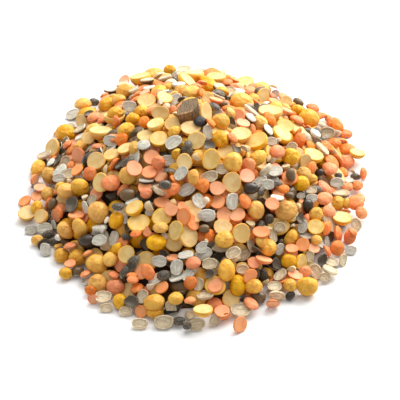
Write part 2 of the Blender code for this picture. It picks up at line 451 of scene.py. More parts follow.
def view_ray(x, y):
    """Where the photograph's camera is, and the way from it through this pixel to the middle of the heap."""
    right, up = (x - BASE_PIXEL[0]) / FOCAL_PIXELS, (BASE_PIXEL[1] - y) / FOCAL_PIXELS
    return CAMERA_DISTANCE * BACK, CAMERA_DISTANCE * (right * RIGHT + up * UP - BACK)


def first_guess(x, y):
    """The point of the heap's form, or of the floor, that this pixel shows."""
    eye, way = view_ray(x, y)
    points = eye + np.linspace(*RAY_SPAN, RAY_STEPS)[:, None] * way
    below = points[:, 2] < np.maximum(heap_surface(points[:, 0], points[:, 1]), 0)
    return points[np.argmax(below)]


def seen_turn(kind, grain, spot, face_up):
    """The turn in which the grain shows as long, as wide and as turned as in the photograph."""
    turn = math.radians(grain.turn)
    along = math.cos(turn) * RIGHT + math.sin(turn) * UP
    lean_to = -math.sin(turn) * RIGHT + math.cos(turn) * UP
    if lean_to @ slope_normal(*spot) < 0:
        lean_to = -lean_to
    open_width = grain.along * kind.size[1] / kind.size[0]
    lean = math.acos(min(1.0, grain.across / open_width))
    out = math.cos(lean) * BACK + math.sin(lean) * lean_to
    z = -out if face_up else out
    return np.stack((along, np.cross(z, along), z), axis=-1)


def lay_seen(heights, laid, kind, face_up, grains):
    """Lays the grains that the photograph shows, each dropped where it comes to rest under its pixel."""
    seen = []
    for grain in grains:
        eye, way = view_ray(grain.x, grain.y)
        place = first_guess(grain.x, grain.y)
        scale = grain.along / (kind.size[0] * FOCAL_PIXELS / (CAMERA_DISTANCE - place @ BACK))
        halves = halves_of(kind) * scale
        turn = seen_turn(kind, grain, place[:2], face_up)
        for _ in range(SETTLING):
            landing = heights.drop(place[:2], halves, kind.half, turn[None])
            landing = heights.nestle(landing)
            place = eye + (landing.rest[0] - eye[2]) / way[2] * way
        place = np.array((*place[:2], landing.rest[0]))
        if heights.over(landing)[0] > SEEN_MOST_OVER:
            continue
        heights.add(landing, 0, keep=True)
        laid.append(Laid(kind, place, turn, halves, grain.shape))
        seen.append((*pixel_of(place), grain.along / 2, place @ BACK))
    return seen


def lay_heap(rng):
    """All the grains in their places: deep ones, then those that the photograph shows, then the rest."""
    heights = HeightMap()
    laid, seen = [], []
    fill(heights, laid, UNDER, (), rng)
    for kind, face_up, grains in SEEN:
        seen += lay_seen(heights, laid, kind, face_up, grains)
    for layer in (TOP, CHINKS, SMALL_CHINKS):
        fill(heights, laid, layer, np.array(seen), rng)
    return laid


FACE = True  # the cut face shows
DOME = False

# The grains that the photograph shows best, those that lie under others first.
SEEN = (
    (RED_LENTIL, FACE, (
        Seen(290, 177.5, 18, 15), Seen(254.5, 263, 14, 12), Seen(264.5, 259, 18, 5, -15),
        Seen(283, 279.5, 15, 5, 20), Seen(93.5, 300.5, 12, 10), Seen(141, 312, 14, 13, 80),
        Seen(226, 318, 13, 6, 20), Seen(273, 305.5, 15, 7), Seen(173, 257.5, 14, 6, 5),
        Seen(184, 207.5, 14, 10, -30), Seen(145, 187.5, 15, 13),
    )),
    (MUNG, FACE, (
        Seen(140, 324.5, 16, 12), Seen(164, 323, 20, 17), Seen(197.5, 325.5, 17, 14, 10),
        Seen(215, 320.5, 13, 12, 60), Seen(241, 310, 21, 14), Seen(126, 312, 14, 12),
        Seen(106.5, 308.5, 13, 11), Seen(103.5, 297, 17, 12), Seen(142.5, 297, 15, 11, 60),
        Seen(171, 308, 14, 11, -60, 2), Seen(191, 316, 13, 7, -25, 2), Seen(205, 294.5, 18, 8, 10),
        Seen(199, 285, 14, 13, 80), Seen(277, 297.5, 17, 11), Seen(275, 286.5, 16, 10),
        Seen(280, 275, 15, 9, 40), Seen(316, 272, 17, 15, -60), Seen(325, 277.5, 12, 9),
        Seen(331, 269.5, 17, 6, -25), Seen(332.5, 262, 14, 9, -15), Seen(344, 260.5, 13, 8, 80),
        Seen(243, 270, 13, 12), Seen(233.5, 253.5, 16, 13, 30), Seen(244, 255.5, 15, 11, 40),
        Seen(210, 264.5, 16, 13), Seen(193, 272, 15, 11, 0, 2), Seen(280, 227.5, 13, 12),
        Seen(107, 246.5, 14, 13), Seen(223, 169.5, 15, 13), Seen(210.5, 177, 16, 13, 20),
        Seen(356.5, 224.5, 14, 12, -60), Seen(341, 192, 18, 7), Seen(311.5, 190, 12, 8),
        Seen(273.5, 236.5, 14, 9, 110), Seen(252, 246, 15, 7, 105), Seen(310, 257, 12, 9, 80),
        Seen(327.5, 132.5, 16, 13), Seen(316.5, 142.5, 14, 11, -30), Seen(65.5, 162.5, 14, 11, 80),
        Seen(69.5, 173.5, 14, 10, 20), Seen(91.5, 200.5, 13, 9, 60), Seen(229.5, 91.5, 16, 11),
    )),
    (BLACK_GRAM, FACE, (
        Seen(45.5, 250, 14, 13, 100), Seen(31, 230, 13, 10), Seen(45, 228.5, 16, 12), Seen(59, 178, 13, 12),
        Seen(79.5, 177.5, 13, 9, 80), Seen(111, 141, 16, 12), Seen(72, 113.5, 14, 10, 30),
        Seen(129.5, 106, 15, 13), Seen(175, 99.5, 15, 11, 45), Seen(123.5, 220.5, 11, 10),
        Seen(149.5, 213.5, 9, 8), Seen(312, 198.5, 12, 10), Seen(301, 196, 9, 7),
        Seen(327.5, 242, 11, 6, 95), Seen(306, 235.5, 13, 6, -10), Seen(349, 180, 10, 5),
        Seen(218, 112.5, 10, 8), Seen(275.5, 92.5, 9, 8), Seen(271.5, 141.5, 12, 10),
        Seen(261, 182, 15, 11, 20), Seen(268, 185, 14, 11), Seen(280, 250, 13, 9, 60),
        Seen(132, 201.5, 15, 5, 20), Seen(146.5, 179.5, 16, 5), Seen(277.5, 197.5, 14, 5, -10),
        Seen(100, 227, 16, 4, 3), Seen(85, 208, 13, 6, 105), Seen(53.5, 225, 10, 5, 110),
        Seen(87, 281, 12, 5, 30), Seen(187.5, 275.5, 14, 9, 40), Seen(186, 255, 16, 8, 10),
        Seen(303, 227, 14, 11, 70), Seen(351, 250.5, 13, 12), Seen(155.5, 279.5, 16, 10, 40),
        Seen(176.5, 277.5, 16, 7, 20),
    )),
    (WHOLE_BEAN, DOME, (
        Seen(128, 195, 18, 13), Seen(251, 189, 16, 13), Seen(291, 175, 14, 11, 95),
        Seen(308, 206, 15, 10, 95), Seen(204.5, 229.5, 12, 10), Seen(180.5, 286.5, 22, 14),
        Seen(258.5, 297.5, 17, 15, -20), Seen(319.5, 172.5, 10, 8), Seen(289.5, 196, 11, 8),
        Seen(278, 186.5, 12, 9, -50), Seen(53, 204.5, 13, 10, 70), Seen(298, 102, 12, 8, -40),
        Seen(223.5, 104.5, 10, 9), Seen(290.5, 296.5, 11, 9, 45), Seen(77.5, 272, 14, 9),
        Seen(65.5, 243, 11, 9),
    )),
    (SKIN, DOME, (
        Seen(269.5, 220.5, 14, 11, 80), Seen(308.5, 132, 12, 8, -30), Seen(355.5, 176.5, 11, 7),
        Seen(338.5, 175.5, 9, 6), Seen(317, 189.5, 12, 7, -25), Seen(55, 242, 14, 11),
        Seen(125.5, 272.5, 14, 9, 50), Seen(63, 150.5, 12, 7, 60), Seen(93.5, 101.5, 12, 8),
        Seen(44, 162, 9, 8), Seen(127, 237.5, 11, 9), Seen(263.5, 274.5, 14, 11, -60),
        Seen(179.5, 322, 14, 9), Seen(118, 207.5, 13, 8), Seen(244, 300.5, 8, 6),
    )),
    (CHICKPEA, FACE, (
        Seen(160.5, 113.5, 18, 16), Seen(146.5, 100, 20, 15), Seen(145.5, 135.5, 17, 12),
        Seen(159, 138.5, 20, 15), Seen(173, 124.5, 18, 15), Seen(191, 127.5, 21, 15),
        Seen(196.5, 141, 20, 18, 20), Seen(256, 140, 24, 15, 30), Seen(241, 133.5, 22, 14),
        Seen(211.5, 160, 22, 19, 60), Seen(184.5, 162.5, 18, 16, 80), Seen(139, 223, 23, 18),
        Seen(162, 217.5, 21, 18), Seen(175.5, 231, 20, 15, 80), Seen(189.5, 236.5, 24, 18, 105, 1),
        Seen(232.5, 183, 22, 19, 80), Seen(223, 227.5, 19, 16), Seen(242, 234, 21, 18, 80),
        Seen(126.5, 255, 19, 17, 80), Seen(314, 154, 22, 12, -20), Seen(306, 161.5, 16, 12, 70),
        Seen(316, 227, 18, 15), Seen(342.5, 217, 20, 12), Seen(100.5, 183, 20, 17, 80),
        Seen(27, 212.5, 19, 14), Seen(100.5, 129.5, 24, 9), Seen(88, 138, 14, 12),
        Seen(102.5, 140, 17, 12, -60), Seen(111.5, 154, 18, 11, 20), Seen(125, 148, 17, 10, 25),
        Seen(96, 161, 20, 17, 40), Seen(51.5, 147.5, 19, 14, 75), Seen(188.5, 79.5, 22, 9, -45),
        Seen(165, 97, 17, 11, -15), Seen(286, 101, 14, 12), Seen(285.5, 125, 18, 14, -20),
        Seen(283, 133, 22, 12, -35), Seen(208.5, 98.5, 14, 12), Seen(207, 112.5, 20, 12, 95),
        Seen(244.5, 80.5, 19, 12, 10), Seen(216, 75, 20, 9), Seen(264, 97, 18, 13, 90),
        Seen(270, 109.5, 25, 12), Seen(114, 115, 22, 9), Seen(81, 120.5, 14, 12, 90),
        Seen(215.5, 286, 22, 19), Seen(270, 264.5, 17, 14, 0, 5), Seen(134, 207.5, 20, 12, 30),
        Seen(203.5, 309.5, 20, 9), Seen(302.5, 263, 17, 11, 80), Seen(234.5, 268.5, 13, 6, 85),
    )),
    (CHICKPEA, DOME, (
        Seen(155.5, 314, 18, 10), Seen(61, 188, 13, 8), Seen(117, 221, 18, 15, 70), Seen(62, 256, 17, 15),
        Seen(37.5, 208, 15, 12, 80), Seen(221, 122, 19, 17), Seen(220.5, 140, 19, 17, -60, 3),
        Seen(233, 163, 22, 20, 90, 2), Seen(128, 176.5, 20, 18, -60), Seen(119, 165.5, 21, 18),
        Seen(98.5, 213, 24, 22, 90, 3), Seen(92, 240.5, 22, 20, 0, 4), Seen(77.5, 258, 19, 17, 0, 2),
        Seen(97.5, 265, 24, 20, -5), Seen(98.5, 284, 21, 18, 0, 3), Seen(156.5, 244.5, 21, 14),
        Seen(174.5, 249.5, 18, 11), Seen(224.5, 241, 20, 17, 0, 2), Seen(256, 210.5, 20, 18, 90, 3),
        Seen(286, 211.5, 24, 21, 0, 3), Seen(290.5, 157.5, 20, 17, 0, 3), Seen(289, 261.5, 17, 16),
        Seen(155, 304.5, 22, 16, 10), Seen(120.5, 302, 17, 15, 80), Seen(237, 286.5, 22, 17, 100),
        Seen(307.5, 286, 23, 18, 0, 3), Seen(290.5, 286, 15, 14), Seen(254, 287, 18, 16, 0, 3),
        Seen(337.5, 203.5, 16, 13, 85), Seen(301, 184, 18, 16), Seen(125.5, 92, 20, 14),
        Seen(108, 106, 20, 13, 5), Seen(65.5, 133.5, 22, 20), Seen(126.5, 131, 19, 17),
        Seen(135.5, 149, 15, 11, 80), Seen(67.5, 193.5, 22, 14, -20, 1), Seen(81, 190, 18, 14),
        Seen(48, 194.5, 16, 13, 80), Seen(66, 230, 19, 15, -50, 1), Seen(72.5, 206.5, 20, 8, 8),
        Seen(241, 104.5, 26, 11, -15), Seen(307.5, 119.5, 24, 15, -20), Seen(259.5, 124, 18, 15, -50),
        Seen(49.5, 175, 18, 15, 80), Seen(79.5, 187, 18, 11), Seen(267.5, 248.5, 20, 17, -40),
        Seen(169.5, 69.5, 13, 11), Seen(182, 92, 16, 10), Seen(209.5, 88, 18, 10), Seen(142, 113, 17, 9),
        Seen(133, 120, 15, 10), Seen(115.5, 114.5, 17, 9), Seen(297, 110, 13, 10),
    )),
    (PIGEON_PEA, DOME, (
        Seen(194.5, 178, 16, 11, 85), Seen(298, 204, 14, 13), Seen(316, 215, 16, 15, 80),
        Seen(81.5, 227, 20, 12, -55), Seen(289, 237.5, 19, 9, 55), Seen(259, 160, 20, 12, 40),
        Seen(225, 271, 23, 15, 85), Seen(223.5, 299.5, 21, 12, -10), Seen(176, 300, 16, 12, 0, 2),
        Seen(66, 273.5, 14, 12), Seen(316.5, 240.5, 12, 11), Seen(311.5, 179.5, 12, 9),
        Seen(37.5, 240.5, 13, 12), Seen(345.5, 204, 12, 6, 85), Seen(161, 230, 16, 8),
        Seen(168.5, 87.5, 11, 9), Seen(260.5, 241.5, 14, 11, 110),
    )),
    (RED_LENTIL, FACE, (
        Seen(241, 325.5, 17, 14, 80), Seen(237.5, 116.5, 17, 15, 60), Seen(243.5, 122.5, 15, 9, -20),
        Seen(134.5, 168.5, 18, 15, -30), Seen(149.5, 172, 17, 13, 10), Seen(152, 157.5, 18, 16),
        Seen(184.5, 182, 18, 15, -10), Seen(217.5, 188.5, 17, 15), Seen(217.5, 202, 17, 14, 20),
        Seen(247.5, 176, 17, 14, -20), Seen(237.5, 215, 17, 14, 10), Seen(183.5, 217, 19, 14, 80),
        Seen(193.5, 223, 18, 12, 110), Seen(272.5, 204, 15, 13), Seen(261.5, 232, 18, 12),
        Seen(303, 245, 15, 14), Seen(292, 248.5, 14, 9), Seen(314, 248.5, 13, 10, -20),
        Seen(251, 277, 16, 13, 50), Seen(296, 275, 16, 9, -15), Seen(141.5, 272, 17, 15, 40),
        Seen(222.5, 311.5, 17, 12), Seen(215.5, 286, 16, 14, 20), Seen(77.5, 156.5, 20, 13, 100),
        Seen(75, 142, 13, 7), Seen(24.5, 200.5, 14, 10, 30), Seen(37, 196, 13, 10), Seen(40, 187, 13, 8),
        Seen(55, 216.5, 15, 9, 105), Seen(76.5, 214.5, 17, 8), Seen(162.5, 202.5, 17, 12, -10),
        Seen(147.5, 232, 11, 10, 60, 2), Seen(162, 288, 15, 10, 45),
    )),
    (RED_LENTIL, DOME, (
        Seen(111, 184, 20, 17), Seen(110, 199.5, 17, 10), Seen(90.5, 174, 16, 14, 70),
        Seen(146.5, 194, 13, 12), Seen(149, 272.5, 18, 13, -60), Seen(209.5, 236.5, 15, 12, 80),
        Seen(277.5, 152.5, 17, 13), Seen(299, 140.5, 17, 13, 80), Seen(346.5, 149.5, 18, 12),
        Seen(346.5, 162, 17, 14), Seen(345.5, 134, 14, 9), Seen(334, 143.5, 15, 11),
        Seen(329.5, 169.5, 17, 13), Seen(324.5, 199.5, 17, 13), Seen(329, 212, 15, 12, -20),
        Seen(355.5, 203.5, 18, 15), Seen(361, 213, 15, 12, -60), Seen(337.5, 233, 18, 16),
        Seen(350.5, 237.5, 16, 12, 80), Seen(325.5, 228.5, 16, 10, 80), Seen(337, 248.5, 17, 15, 80),
        Seen(357, 186, 13, 10), Seen(347, 187.5, 13, 9), Seen(343, 172.5, 13, 7, -45),
        Seen(362.5, 173.5, 13, 7, 90), Seen(284, 190, 12, 9), Seen(113.5, 139, 14, 9),
        Seen(94, 117.5, 15, 9, 20), Seen(144.5, 122.5, 14, 11, 45), Seen(157.5, 84.5, 14, 9),
        Seen(249.5, 91.5, 16, 10), Seen(227, 82.5, 13, 7), Seen(201.5, 77.5, 10, 9),
        Seen(312.5, 108, 15, 7, -20), Seen(328, 118.5, 10, 8, -60), Seen(269, 119.5, 17, 10, -50),
        Seen(310.5, 168, 15, 10, 60), Seen(193.5, 264, 16, 13), Seen(185, 307, 17, 11),
        Seen(173.5, 110.5, 11, 8, 80), Seen(116, 120.5, 13, 8, -60), Seen(292, 114, 10, 8),
        Seen(174.5, 181.5, 15, 5, -50), Seen(136.5, 235, 13, 6, 15), Seen(137.5, 289.5, 15, 8, 15),
        Seen(190.5, 302, 13, 5, 5), Seen(206.5, 306, 16, 5), Seen(206.5, 301.5, 15, 6, 5),
        Seen(114, 276.5, 13, 5, -20), Seen(132.5, 276.5, 12, 4), Seen(133, 281, 13, 7, -10),
        Seen(70.5, 247.5, 15, 4, 10), Seen(86, 275.5, 13, 4, 25), Seen(60.5, 212.5, 13, 5, 110),
        Seen(97.5, 147.5, 12, 5), Seen(352.5, 232.5, 11, 5, -40),
    )),
    (BLACK_GRAM, FACE, (
        Seen(173.5, 142.5, 18, 13, 30), Seen(169, 161, 16, 13), Seen(208.5, 132.5, 15, 11, 100),
        Seen(207, 216, 18, 16, 0, 1), Seen(199.5, 201.5, 17, 12, 120), Seen(233, 202, 18, 12, 85),
        Seen(275, 171, 16, 11), Seen(337, 182.5, 14, 12), Seen(203.5, 248, 16, 13, 20, 2),
        Seen(159.5, 262, 16, 13), Seen(177, 268, 17, 14, 80), Seen(113.5, 239, 16, 10, 80),
    )),
    (SKIN, DOME, (
        Seen(165.5, 185.5, 14, 12),
    )),
    (CRUMB, DOME, (
        Seen(198, 157.5, 12, 8), Seen(177, 242.5, 14, 9, -30), Seen(166.5, 236.5, 11, 9),
        Seen(152.5, 237, 14, 6), Seen(59, 238, 9, 6), Seen(353.5, 170.5, 7, 5), Seen(104, 231, 11, 8, -50),
        Seen(175, 203, 11, 5), Seen(151, 206.5, 14, 11),
    )),
    (CHIP, DOME, (
        Seen(189, 111.5, 22, 14, 10),
    )),
)


# Modelling

ON_CUT = 0.01  # how near to the cut face a point counts as on it
MERGE = 0.001  # how near to a break a point counts as on it

# Where a dome's parts begin and end, as shares of its length, width or thickness.
SHOULDERS = (0.3, 0.8)
TOP_FROM = 0.95
CORNERS_FROM = (0.28, 0.2)
BEAK_FROM = 0.4
BEAK_UNDER = 0.75
CREASE_REACH = 0.05
CREASE_FROM = 0.3
DIMPLE_FROM = 0.93
DIMPLE_SHIFT = 0.08
GROOVE_REACH = 0.25

PEA_RIM = 0.2  # rounding of the cut face's edge
PEA_SWELL = 0.04  # of the cut face
PEA_BREAK = (0.9, 0.35, 0.2)  # normal of the break
BEAK_TAPER = 0.85  # width at the beak, against the dome's
BEAN_RIM = 0.18
BEAN_BREAK = (0.8, 0.5, 0.25)

FULL_END_FROM = 0.3  # of a whole bean's length
FULL_END = (1, 1.12, 1.1)  # its size, against an ellipsoid's
BELLY_FROM = 0.44  # of the width
BELLY_REACH = 0.3  # of the length
BELLY_DENT = 0.16

SKIN_WALL = 0.16
SKIN_TEAR = (0.9, 0.4, -0.3)
BARK_ROUGHNESS = 0.22
BARK_BREAKS = (  # each one's place, as shares of the chip's size, and its normal
    ((0.36, -0.3, 0), (1, -0.8, 0.3)),
    ((-0.4, 0.3, 0.2), (-0.9, 0.5, 0.5)),
)

OUTLINE_WAVES = ((2, 0.035), (3, 0.03))  # how many go round a grain, and their share of its radius
ANY_PHASE = 6.28  # radians, all the way round
SHARP = math.radians(58)  # edges that turn by more stay sharp
ON_BASE = 0.001  # of the core's radius


def start(add, **settings):
    """Adds a primitive with nothing else selected, and opens it for editing."""
    bpy.ops.object.select_all(action="DESELECT")
    add(**settings)
    bpy.ops.object.mode_set(mode="EDIT")
    return bpy.context.object


def select(obj, kind, wanted):
    """Selects only the points, edges or faces of which every point is wanted(x, y, z)."""
    bpy.ops.mesh.select_mode(type=kind)
    bpy.ops.mesh.select_all(action="DESELECT")
    shape = bmesh.from_edit_mesh(obj.data)
    if kind == "VERT":
        found = [v for v in shape.verts if wanted(*v.co)]
    elif kind == "EDGE":
        found = [e for e in shape.edges if all(wanted(*v.co) for v in e.verts)]
    else:
        found = [f for f in shape.faces if all(wanted(*v.co) for v in f.verts)]
    for element in found:
        element.select_set(True)
    shape.select_flush(True)
    bmesh.update_edit_mesh(obj.data)


class Master(NamedTuple):
    """A modelled grain as arrays: points from -1 to 1 along each of its axes, and faces."""

    points: np.ndarray
    faces: list


def finished(obj, halves):
    """Takes the modelled grain out of the scene as arrays, at unit size."""
    bpy.ops.object.mode_set(mode="OBJECT")
    points = np.array([v.co for v in obj.data.vertices]) / halves
    faces = [tuple(face.vertices) for face in obj.data.polygons]
    mesh = obj.data
    bpy.data.objects.remove(obj, do_unlink=True)
    bpy.data.meshes.remove(mesh)
    return Master(points, faces)


def half_dome(size, shoulder=1.03, top=0.96, square=1.0):
    """The start of every split grain: a flat cut face on z = 0 under a dome with full shoulders."""
    length, width, thickness = size
    obj = start(bpy.ops.mesh.primitive_uv_sphere_add, segments=14, ring_count=8, radius=1)
    bpy.ops.transform.resize(value=(length / 2, width / 2, thickness))
    select(obj, "VERT", lambda x, y, z: z < -ON_CUT)
    bpy.ops.mesh.delete(type="VERT")
    select(obj, "EDGE", lambda x, y, z: abs(z) < ON_CUT)
    bpy.ops.mesh.edge_face_add()
    # The shoulders, then the very top, then the four corners.
    select(obj, "VERT", lambda x, y, z: SHOULDERS[0] * thickness < z < SHOULDERS[1] * thickness)
    bpy.ops.transform.resize(value=(shoulder, shoulder, 1))
    select(obj, "VERT", lambda x, y, z: z > TOP_FROM * thickness)
    bpy.ops.transform.translate(value=(0, 0, (top - 1) * thickness))
    if square != 1:
        corner_x, corner_y = CORNERS_FROM[0] * length, CORNERS_FROM[1] * width
        select(obj, "VERT", lambda x, y, z: abs(x) > corner_x and abs(y) > corner_y)
        bpy.ops.transform.resize(value=(square, square, 1))
    return obj


def round_rim(obj, width, rise):
    """Rounds the edge of the cut face, and moves the face inside it by the rise."""
    select(obj, "EDGE", lambda x, y, z: abs(z) < ON_CUT)
    bpy.ops.mesh.bevel(offset=width, segments=1, affect="EDGES")
    select(obj, "FACE", lambda x, y, z: abs(z) < ON_CUT)
    bpy.ops.mesh.inset(thickness=width, depth=0)
    bpy.ops.transform.translate(value=(0, 0, rise))


def break_off(place, normal):
    """Breaks off what lies beyond a plane, and closes the break."""
    bpy.ops.mesh.select_all(action="SELECT")
    bpy.ops.mesh.bisect(plane_co=place, plane_no=normal, use_fill=True, clear_outer=True, threshold=MERGE)


def split_pea(size, beak=0.0, crease=0.0, dimple=0.0, shoulder=1.03, broken=None):
    """A split pea or lentil. Its dome may have a beak at one end, a crease along it and a dimple on top."""
    length, width, thickness = size
    obj = half_dome(size, shoulder)
    if beak:
        select(obj, "VERT", lambda x, y, z: x > BEAK_FROM * length and z < BEAK_UNDER * thickness)
        bpy.ops.transform.resize(value=(1, BEAK_TAPER, 1))
        bpy.ops.transform.translate(value=(beak, 0, 0))
    if crease:
        select(obj, "VERT", lambda x, y, z: abs(y) < CREASE_REACH * width and z > CREASE_FROM * thickness)
        bpy.ops.transform.translate(value=(0, 0, -crease))
    if dimple:
        select(obj, "VERT", lambda x, y, z: z > DIMPLE_FROM * thickness)
        bpy.ops.transform.translate(value=(DIMPLE_SHIFT * length, 0, -dimple))
    round_rim(obj, PEA_RIM, PEA_SWELL)
    if broken:
        break_off((broken * length / 2, 0, 0), PEA_BREAK)
    return finished(obj, (length / 2, width / 2, thickness))


def split_bean(size, groove, dish, broken=None):
    """A split bean, squarer than a pea. Its cut face is dished, with a shallow groove along it."""
    length, width, thickness = size
    obj = half_dome(size, shoulder=1.04, top=0.9, square=1.06)
    round_rim(obj, BEAN_RIM, dish)

    def on_groove(x, y, z):
        return abs(y) < ON_CUT and abs(z - dish) < ON_CUT

    select(obj, "VERT", on_groove)
    bpy.ops.mesh.vert_connect()
    select(obj, "EDGE", on_groove)
    bpy.ops.mesh.subdivide(number_cuts=2)
    select(obj, "VERT", lambda x, y, z: on_groove(x, y, z) and abs(x) < GROOVE_REACH * length)
    bpy.ops.transform.translate(value=(0, 0, groove))
    if broken:
        break_off((broken * length / 2, 0, 0), BEAN_BREAK)
    return finished(obj, (length / 2, width / 2, thickness))


def whole_bean(size):
    """A whole bean, fuller at one end and dented in its belly."""
    length, width, thickness = size
    obj = start(bpy.ops.mesh.primitive_uv_sphere_add, segments=12, ring_count=7, radius=1)
    bpy.ops.transform.resize(value=(length / 2, width / 2, thickness / 2))
    select(obj, "VERT", lambda x, y, z: x > FULL_END_FROM * length)
    bpy.ops.transform.resize(value=FULL_END)
    select(obj, "VERT", lambda x, y, z: y < -BELLY_FROM * width and abs(x) < BELLY_REACH * length)
    bpy.ops.transform.translate(value=(0, BELLY_DENT, 0))
    return finished(obj, (length / 2, width / 2, thickness / 2))


def bean_skin(size, torn):
    """A husk: a thin curved shell with a torn edge."""
    length, width, thickness = size
    obj = start(bpy.ops.mesh.primitive_uv_sphere_add, segments=10, ring_count=6, radius=1)
    bpy.ops.transform.resize(value=(length / 2, width / 2, thickness))
    select(obj, "VERT", lambda x, y, z: z < -ON_CUT)
    bpy.ops.mesh.delete(type="VERT")
    bpy.ops.mesh.select_all(action="SELECT")
    tear = (torn * length / 2, 0, 0)
    bpy.ops.mesh.bisect(plane_co=tear, plane_no=SKIN_TEAR, clear_outer=True, threshold=MERGE)
    bpy.ops.object.mode_set(mode="OBJECT")
    shell = obj.modifiers.new("shell", "SOLIDIFY")
    shell.thickness = SKIN_WALL
    shell.offset = -1
    bpy.ops.object.modifier_apply(modifier=shell.name)
    return finished(obj, (length / 2, width / 2, thickness))


def broken_bit(size, cuts):
    """A piece of a split grain, broken along rough planes."""
    length, width, thickness = size
    obj = start(bpy.ops.mesh.primitive_uv_sphere_add, segments=10, ring_count=6, radius=1)
    bpy.ops.transform.resize(value=(length / 2, width / 2, thickness / 2))
    for place, normal in cuts:
        break_off(place, normal)
    return finished(obj, (length / 2, width / 2, thickness / 2))


def bark_chip(size):
    """A chip of bark: a block with split sides and a broken corner."""
    length, width, thickness = size
    obj = start(bpy.ops.mesh.primitive_cube_add, size=2)
    bpy.ops.transform.resize(value=(length / 2, width / 2, thickness / 2))
    bpy.ops.mesh.subdivide(number_cuts=4)
    bpy.ops.transform.vertex_random(offset=BARK_ROUGHNESS, seed=SEED)
    for (x, y, z), normal in BARK_BREAKS:
        break_off((x * length, y * width, z * thickness), normal)
    return finished(obj, (length / 2, width / 2, thickness / 2))


def model_grains():
    """The modelled grains of each kind."""
    return {
        CHICKPEA: [
            split_pea(CHICKPEA.size),
            split_pea(CHICKPEA.size, beak=0.22, crease=0.2),
            split_pea(CHICKPEA.size, dimple=0.4, shoulder=1.05),
            split_pea(CHICKPEA.size, crease=0.35),
            split_pea(CHICKPEA.size, shoulder=1.05),
            split_pea(CHICKPEA.size, broken=0.6),
        ],
        PIGEON_PEA: [
            split_pea(PIGEON_PEA.size, shoulder=1.05),
            split_pea(PIGEON_PEA.size, dimple=0.25),
            split_pea(PIGEON_PEA.size, beak=0.15),
            split_pea(PIGEON_PEA.size, broken=0.35),
        ],
        RED_LENTIL: [
            split_pea(RED_LENTIL.size, shoulder=1.0),
            split_pea(RED_LENTIL.size, dimple=0.15),
            split_pea(RED_LENTIL.size, broken=0.65),
        ],
        BLACK_GRAM: [
            split_bean(BLACK_GRAM.size, groove=0.12, dish=0.05),
            split_bean(BLACK_GRAM.size, groove=0.05, dish=-0.06),
            split_bean(BLACK_GRAM.size, groove=0.1, dish=0.08, broken=0.5),
        ],
        MUNG: [
            split_bean(MUNG.size, groove=0.2, dish=0.15),
            split_bean(MUNG.size, groove=0.1, dish=0.06),
            split_bean(MUNG.size, groove=0.15, dish=0.12, broken=0.6),
        ],
        WHOLE_BEAN: [whole_bean(WHOLE_BEAN.size)],
        SKIN: [bean_skin(SKIN.size, torn=0.9), bean_skin(SKIN.size, torn=0.3)],
        CRUMB: [
            broken_bit(CRUMB.size, (((0, 0, 0), (0.1, 0.2, -1)), ((0.3, 0, 0), (1, 0.4, 0.2)))),
            broken_bit(CRUMB.size, (((0, 0.1, 0), (0.3, 1, 0.1)), ((0, 0, -0.2), (-0.2, 0.1, -1)))),
            broken_bit(CRUMB.size, (((0.4, 0, 0), (1, -0.5, 0.3)), ((-0.5, 0, 0), (-1, -0.2, 0.4)))),
        ],
        CHIP: [bark_chip(CHIP.size)],
    }


def uneven(points, rng):
    """The grain's points with its outline a little out of true."""
    around = np.arctan2(points[:, 1], points[:, 0])
    swell = 1.0
    for waves, depth in OUTLINE_WAVES:
        swell = swell + depth * np.cos(waves * around + rng.uniform(0, ANY_PHASE))
    return points * np.stack((swell, swell, np.ones_like(swell)), axis=-1)


def joined(kind, grains, masters, shift, rng):
    """All the grains of one kind as one piece."""
    points, faces, forms, draws, total = [], [], [], [], 0
    for grain in grains:
        master = masters[grain.shape if grain.shape >= 0 else rng.integers(len(masters))]
        shape = uneven(master.points, rng) * grain.halves
        points.append(shape @ grain.turn.T + grain.place + shift)
        faces += [tuple(i + total for i in face) for face in master.faces]
        forms.append(master.points)
        draws.append(np.tile(rng.random(3), (len(master.points), 1)))
        total += len(master.points)
    mesh = bpy.data.meshes.new(kind.name)
    mesh.from_pydata(np.concatenate(points) * MM, [], faces)
    for name, values in (("grain_form", forms), ("grain_draw", draws)):
        attribute = mesh.attributes.new(name, "FLOAT_VECTOR", "POINT")
        attribute.data.foreach_set("vector", np.concatenate(values).astype(np.float32).ravel())
    mesh.shade_smooth()
    mesh.set_sharp_from_angle(angle=SHARP)
    obj = bpy.data.objects.new(kind.name, mesh)
    bpy.context.scene.collection.objects.link(obj)
    return obj


def model_core(shift):
    """The core under the grains: a low dome with bumps as large as grains, closed by a flat base."""
    obj = start(bpy.ops.mesh.primitive_uv_sphere_add, segments=128, ring_count=80, radius=1)
    select(obj, "VERT", lambda x, y, z: z < -ON_BASE)
    bpy.ops.mesh.delete(type="VERT")
    select(obj, "EDGE", lambda x, y, z: abs(z) < ON_BASE)
    bpy.ops.mesh.edge_face_add()
    bpy.ops.object.mode_set(mode="OBJECT")
    for v in obj.data.vertices:
        angle = math.atan2(v.co.y, v.co.x)
        share = 1 - math.asin(min(1.0, v.co.z)) / (math.pi / 2)
        reach = share * (float(rim_radius(angle)) - CORE_INSET)
        x, y = reach * math.cos(angle), reach * math.sin(angle)
        height = (HEAP_HEIGHT - CORE_DEPTH) * float(slope_profile(share))
        bump = CORE_RELIEF * (0.5 - noise.voronoi(Vector((x, y, height)) / CORE_LUMP)[0][0])
        height = max(0.0, height + bump * min(1.0, (1 - share) / CORE_EDGE))
        v.co = Vector((x + shift[0], y + shift[1], height)) * MM
    obj.data.update()
    obj.name = obj.data.name = "heap_core"
    bpy.ops.object.shade_smooth()
    return obj


# Materials

